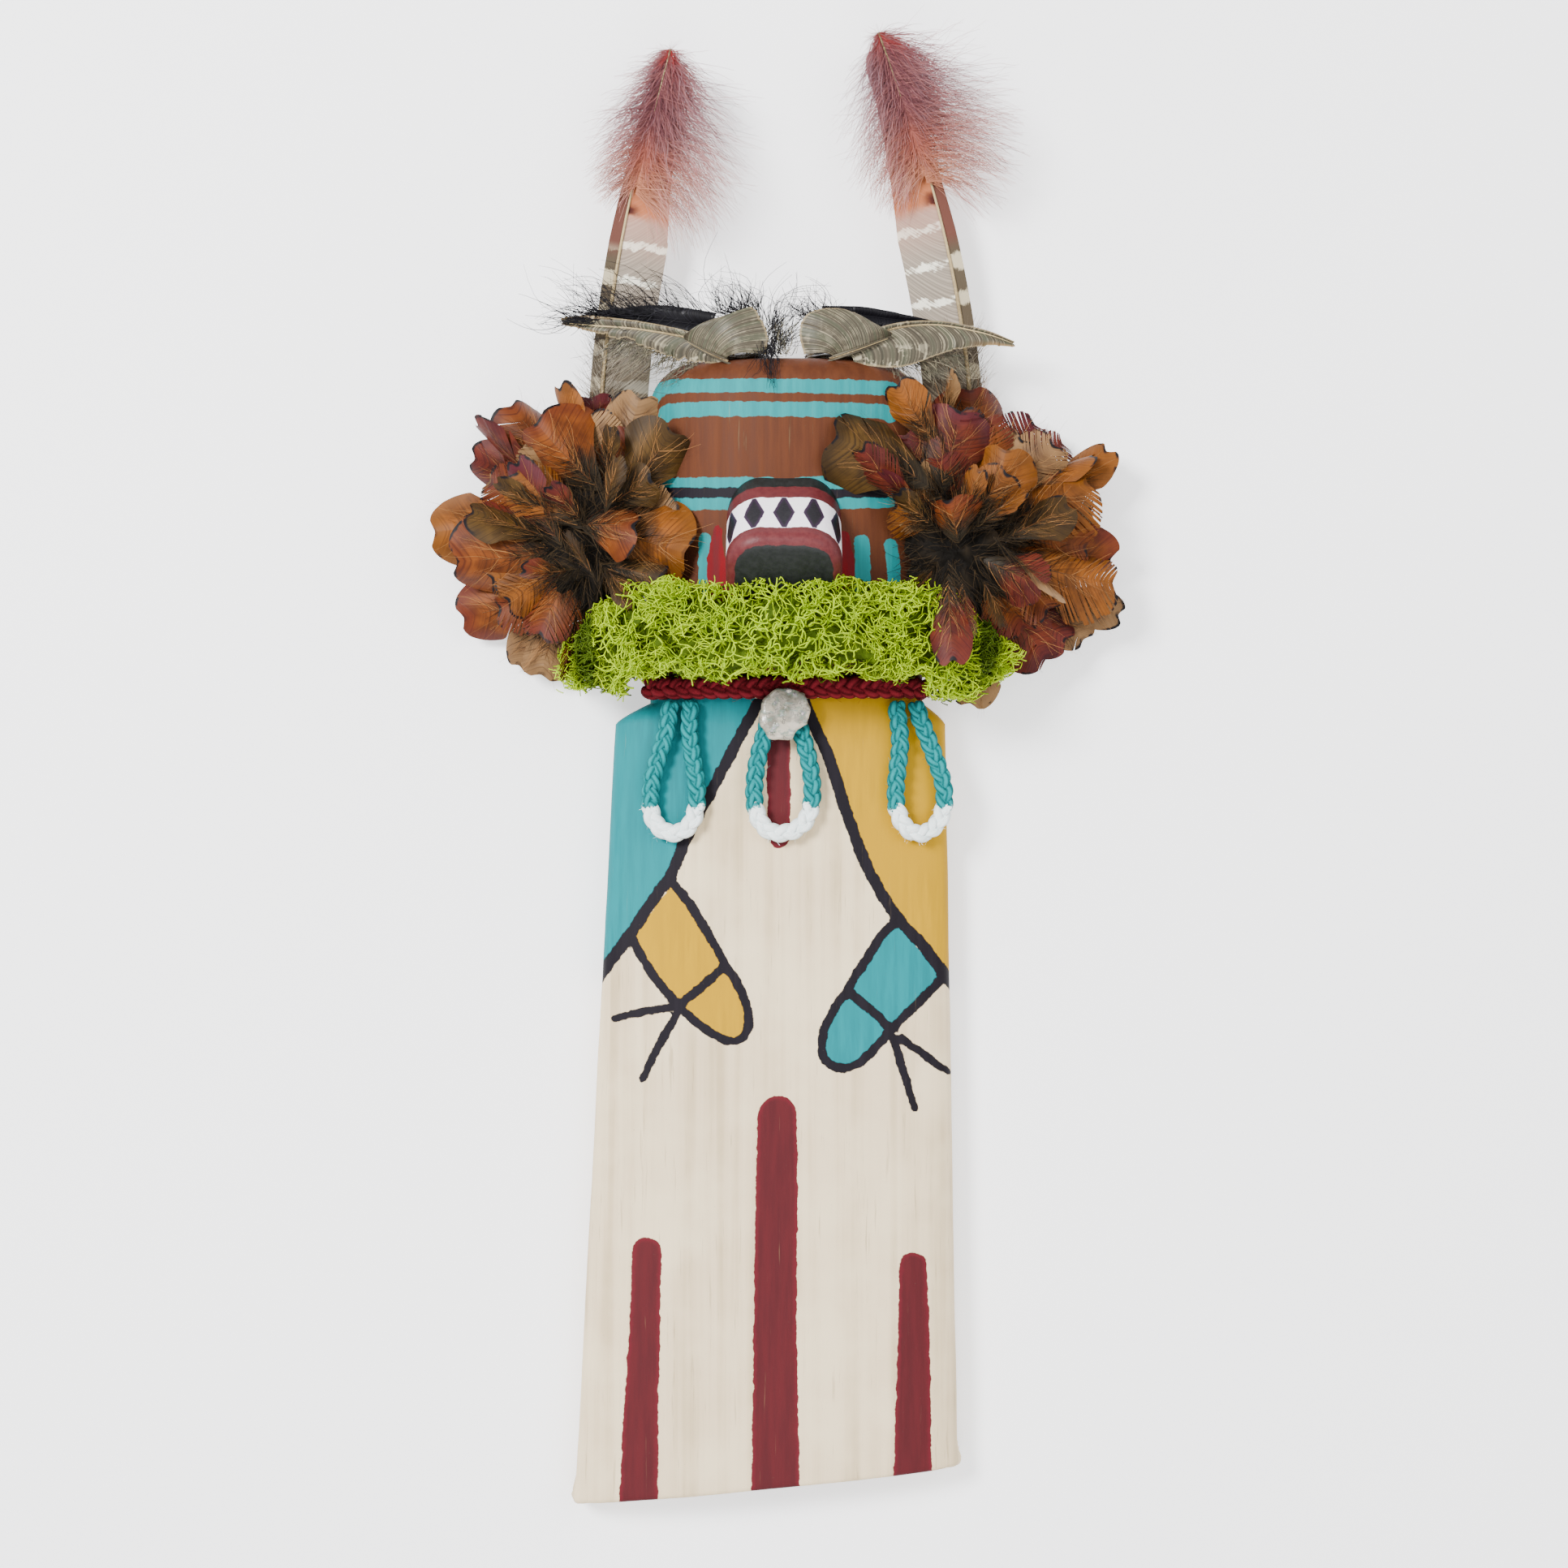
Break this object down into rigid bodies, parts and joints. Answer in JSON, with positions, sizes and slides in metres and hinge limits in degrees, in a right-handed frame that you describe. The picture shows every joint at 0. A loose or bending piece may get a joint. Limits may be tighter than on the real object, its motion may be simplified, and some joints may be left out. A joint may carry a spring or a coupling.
{
  "type": "carved kachina doll",
  "caption": "Flat carved and painted wooden doll with a snouted head, moss collar, feather ear ruffs and upright feathers, lying on its back.",
  "frame": {"origin": "on the flat back, in the middle of the body board", "axes": "+Y runs from the foot to the head and feather tips, +Z comes out of the painted front, +X is to the right of a viewer who faces the front"},
  "size_m": [0.217, 0.4527, 0.0611],
  "materials": {
    "painted_wood": "matte paint over bare wood grain",
    "snout_paint": "matte black, red and white paint",
    "red_cord": "braided yarn",
    "turquoise_cord": "braided yarn, dipped in white paint at the bottom",
    "shell": "pearly shell",
    "moss": "dyed dry lichen",
    "ruff_feather": "glossy body feathers",
    "wing_feather": "barred feather",
    "down_plume": "dyed down",
    "glue": "hardened glue",
    "dark_feather": "black feather",
    "crest_feather": "gray feather with pale edges"
  },
  "bodies": {
    "root": {"carved_board": "painted_wood", "snout": "snout_paint", "neck_cord": "red_cord", "cord_loop_left": "turquoise_cord", "cord_loop_middle": "turquoise_cord", "cord_loop_right": "turquoise_cord", "shell_chip": "shell", "moss_collar": "moss", "feather_ruff_left": "ruff_feather", "feather_ruff_right": "ruff_feather", "wing_feather_left": "wing_feather", "wing_feather_right": "wing_feather", "down_plume_left": "down_plume", "down_plume_right": "down_plume", "crest_glue_left": "glue", "crest_glue_right": "glue", "crest_dark_feather_left": "dark_feather", "crest_dark_feather_right": "dark_feather", "crest_gray_feather_left": "crest_feather", "crest_gray_feather_right": "crest_feather", "crest_cut_feather_left": "crest_feather", "crest_cut_feather_right": "crest_feather"}
  },
  "joints": []
}
